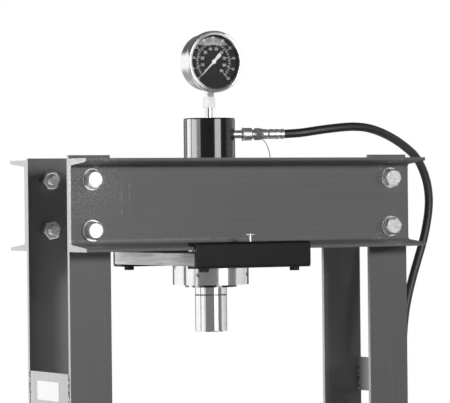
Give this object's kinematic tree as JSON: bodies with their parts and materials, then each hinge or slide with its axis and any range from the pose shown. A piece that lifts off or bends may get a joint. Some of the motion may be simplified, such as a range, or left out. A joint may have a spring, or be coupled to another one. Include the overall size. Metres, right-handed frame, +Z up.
{
  "type": "hydraulic press",
  "caption": "Floor-standing workshop press: channel and flat-bar frame, sliding hydraulic cylinder with chromed ram and gauge, hand pump, pin-adjusted bed.",
  "frame": {"origin": "floor level, centre of the four anchor holes, midway between the columns", "axes": "+Z up, +X to the pump side, -Y to the front"},
  "size_m": [0.8256, 0.934, 1.7885],
  "materials": {
    "frame_paint": "semi-gloss grey enamel",
    "zinc": "bright zinc plate",
    "bare_steel": "machined steel",
    "black_paint": "gloss black enamel",
    "chrome": "polished",
    "black_rubber": "smooth",
    "dial_black": "matt, printed",
    "needle_white": "matt white",
    "gauge_glass": "clear",
    "cap_plastic": "translucent white",
    "knob_plastic": "moulded black"
  },
  "bodies": {
    "frame": {"left_front_post": "frame_paint", "left_rear_post": "frame_paint", "right_front_post": "frame_paint", "right_rear_post": "frame_paint", "left_tie_plates": "frame_paint", "right_tie_plates": "frame_paint", "front_head_channel": "frame_paint", "rear_head_channel": "frame_paint", "head_bolts": "zinc", "head_washers": "zinc", "head_nuts": "zinc", "left_foot": "frame_paint", "right_foot": "frame_paint", "cross_bar": "frame_paint", "base_bolts": "zinc", "base_nuts": "zinc", "hose": "black_rubber", "hose_outlet": "zinc", "oil_tank": "frame_paint", "filler_plug": "zinc", "pump_block": "frame_paint", "lever_pin": "zinc"},
    "bed": {"front_bed_channel": "frame_paint", "rear_bed_channel": "frame_paint", "bed_spacers": "frame_paint", "bed_bolts": "zinc", "bed_nuts": "zinc", "press_plates": "bare_steel"},
    "left_pin": {"left_bed_pin": "zinc"},
    "right_pin": {"right_bed_pin": "zinc"},
    "carriage": {"slide_plate": "bare_steel", "front_hook": "black_paint", "rear_hook": "black_paint", "hook_bolts": "black_paint", "ring_nut": "bare_steel", "cylinder_barrel": "black_paint", "rod_guide": "bare_steel", "rod_seal": "black_rubber", "return_spring": "bare_steel", "gauge_adapter": "zinc", "gauge_movement": "bare_steel", "gauge_case": "chrome", "gauge_bezel": "chrome", "gauge_dial": "dial_black", "gauge_window": "gauge_glass", "port_nipple": "zinc", "coupler_body": "zinc", "dust_cap": "cap_plastic", "hose_ferrule": "zinc"},
    "ram": {"piston": "bare_steel", "piston_seal": "black_rubber", "ram_rod": "chrome", "ram_cap": "chrome"},
    "needle": {"gauge_needle": "needle_white"},
    "sleeve": {"coupler_sleeve": "zinc"},
    "clamp_screw": {"lock_screw": "zinc"},
    "lever": {"pump_lever": "frame_paint", "handle_grip": "black_rubber"},
    "plunger": {"plunger": "chrome"},
    "valve": {"release_valve": "knob_plastic"}
  },
  "joints": [
    {"name": "carriage_slide", "type": "slide", "parent": "frame", "child": "carriage", "axis": [1, 0, 0], "range_m": [-0.12, 0.16], "deforming": ["hose"]},
    {"name": "ram_slide", "type": "slide", "parent": "carriage", "child": "ram", "axis": [0, 0, -1], "range_m": [0, 0.15], "stiffness_N_per_m": 1500, "springref_m": -0.08, "deforming": ["return_spring"]},
    {"name": "needle_turn", "type": "hinge", "parent": "carriage", "child": "needle", "pos_m": [-0.02, -0.018, 1.7335], "axis": [0, 1, 0], "range_deg": [0, 270], "stiffness_Nm_per_rad": 0.002},
    {"name": "sleeve_turn", "type": "hinge", "parent": "carriage", "child": "sleeve", "pos_m": [0.04578, -0.02394, 1.604], "axis": [0.9397, -0.342, 0], "continuous": true},
    {"name": "clamp_screw_turn", "type": "hinge", "parent": "carriage", "child": "clamp_screw", "pos_m": [-0.02, -0.1395, 1.41], "axis": [0, 0, 1], "range_deg": [0, 360]},
    {"name": "bed_lift", "type": "slide", "parent": "frame", "child": "bed", "axis": [0, 0, 1], "range_m": [0, 0.22]},
    {"name": "left_pin_pull", "type": "slide", "parent": "frame", "child": "left_pin", "axis": [0, -1, 0], "range_m": [0, 0.23]},
    {"name": "right_pin_pull", "type": "slide", "parent": "frame", "child": "right_pin", "axis": [0, -1, 0], "range_m": [0, 0.23]},
    {"name": "lever_swing", "type": "hinge", "parent": "frame", "child": "lever", "pos_m": [0.43, 0.035, 0.967], "axis": [-1, 0, 0], "range_deg": [0, 35]},
    {"name": "plunger_slide", "type": "slide", "parent": "frame", "child": "plunger", "axis": [0, 0, 1], "range_m": [0, 0.025]},
    {"name": "valve_turn", "type": "hinge", "parent": "frame", "child": "valve", "pos_m": [0.4075, -0.04, 0.9075], "axis": [0, -1, 0], "range_deg": [0, 270]}
  ],
  "couplings": [
    {"joint": "plunger_slide", "follows": "lever_swing", "m_per_rad": 0.04}
  ]
}
